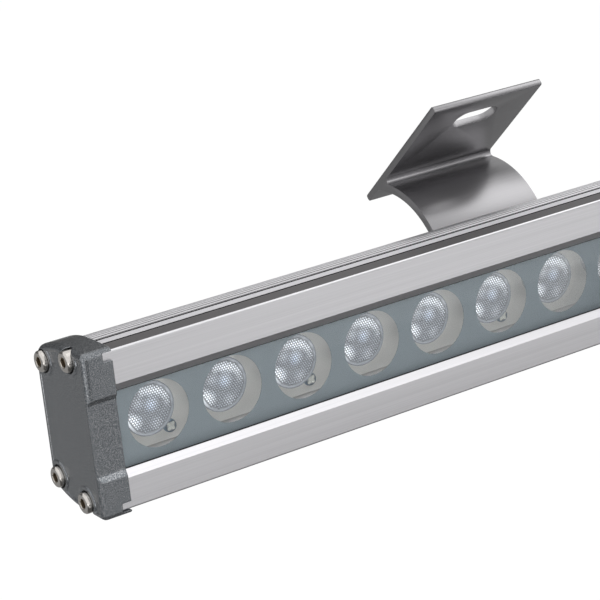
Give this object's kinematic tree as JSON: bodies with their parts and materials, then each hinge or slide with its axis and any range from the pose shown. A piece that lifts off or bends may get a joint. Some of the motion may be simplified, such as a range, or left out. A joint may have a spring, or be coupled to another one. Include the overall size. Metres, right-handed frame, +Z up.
{
  "type": "outdoor wall washer light",
  "caption": "Slim linear wall washer: ribbed aluminium bar, glass front over recessed lenses, coated end caps, slotted brackets that tilt and slide in a rear groove.",
  "frame": {"origin": "on the axis of the groove along the back, which is the brackets' hinge axis, at mid-length of the row of lights", "axes": "+X along the bar towards the cable gland, +Y out of the back, +Z up at mid-height of the section"},
  "size_m": [0.5381, 0.0792, 0.0916],
  "materials": {
    "extrusion": "brushed along the bar, clear anodised",
    "glass": "clear toughened glass",
    "mask": "blue-grey print behind the glass",
    "seal": "black silicone",
    "board": "white solder mask",
    "thermal_pad": "grey silicone",
    "led": "warm phosphor under a clear dome",
    "lens": "clear moulded lens with a honeycomb face",
    "screw": "polished stainless steel",
    "driver": "black epoxy",
    "wire": "red insulation",
    "terminal": "green moulding",
    "cap": "dark grey metallic coat on a casting",
    "gland": "black nylon",
    "bracket": "brushed, clear anodised",
    "grub": "plain steel",
    "stop": "plain turned"
  },
  "bodies": {
    "bar": {"housing": "extrusion", "glass": "glass", "glass_mask": "mask", "glass_seal_front": "seal", "glass_seal_rear": "seal", "board_1": "board", "board_1_leds": "led", "board_1_lenses": "lens", "board_1_screws": "screw", "board_1_drivers": "driver", "board_1_pad": "thermal_pad", "board_2": "board", "board_2_leds": "led", "board_2_lenses": "lens", "board_2_screws": "screw", "board_2_drivers": "driver", "board_2_pad": "thermal_pad", "left_end_cap": "cap", "left_cap_gasket": "seal", "left_cap_screws": "screw", "right_end_cap": "cap", "right_cap_gasket": "seal", "right_cap_screws": "screw", "board_link_wires": "wire", "supply_terminal": "terminal", "gland_body": "gland", "gland_washer": "seal", "gland_locknut": "gland", "gland_seal": "seal", "gland_dome_nut": "gland"},
    "left_carrier": {"left_groove_stops": "stop", "left_stop_screws": "grub"},
    "left_bracket": {"left_bracket": "bracket", "left_bracket_screws": "grub"},
    "right_carrier": {"right_groove_stops": "stop", "right_stop_screws": "grub"},
    "right_bracket": {"right_bracket": "bracket", "right_bracket_screws": "grub"}
  },
  "joints": [
    {"name": "left_slide", "type": "slide", "parent": "bar", "child": "left_carrier", "axis": [1, 0, 0], "range_m": [-0.13, 0.035]},
    {"name": "left_tilt", "type": "hinge", "parent": "left_carrier", "child": "left_bracket", "pos_m": [-0.07375, 0, 0], "axis": [1, 0, 0], "range_deg": [-98, 8]},
    {"name": "right_slide", "type": "slide", "parent": "bar", "child": "right_carrier", "axis": [1, 0, 0], "range_m": [-0.035, 0.13]},
    {"name": "right_tilt", "type": "hinge", "parent": "right_carrier", "child": "right_bracket", "pos_m": [0.07375, 0, 0], "axis": [1, 0, 0], "range_deg": [-98, 8]}
  ]
}
